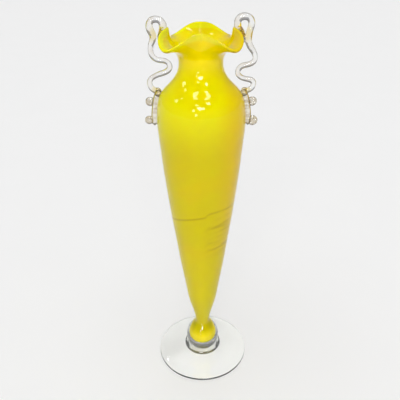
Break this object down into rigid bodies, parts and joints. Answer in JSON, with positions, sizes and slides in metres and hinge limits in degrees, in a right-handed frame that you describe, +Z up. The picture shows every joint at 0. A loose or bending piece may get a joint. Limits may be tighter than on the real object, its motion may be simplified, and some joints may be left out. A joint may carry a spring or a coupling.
{
  "type": "footed flower vase",
  "caption": "Tall slender footed glass vase with a ruffled lip, opaque yellow lining, clear casing, looped serpentine thread handles, crimped trails, a clear knop and a disc foot",
  "frame": {"origin": "centre of the resting plane of the foot", "axes": "+Z up; +X towards the handle with the taller loop, seen on the right of the picture; -Y towards the camera"},
  "size_m": [0.1064, 0.1048, 0.3916],
  "materials": {
    "opaque_yellow_glass": "opaque saturated yellow glass, glossy, with faint tooling streaks low on the body",
    "clear_casing_glass": "clear glossy casing over the yellow, thick and lens-like in the knop",
    "clear_foot_glass": "clear glossy glass, faintly grey, with a fire-polished edge",
    "clear_thread_glass": "clear drawn glass thread, wavy and glossy, pinched and cloudy at the tabs"
  },
  "bodies": {
    "root": {"yellow_lining": "opaque_yellow_glass", "clear_casing": "clear_casing_glass", "stem_collar": "clear_foot_glass", "foot": "clear_foot_glass", "left_handle": "clear_thread_glass", "right_handle": "clear_thread_glass", "left_crimped_trail": "clear_thread_glass", "right_crimped_trail": "clear_thread_glass"}
  },
  "joints": []
}
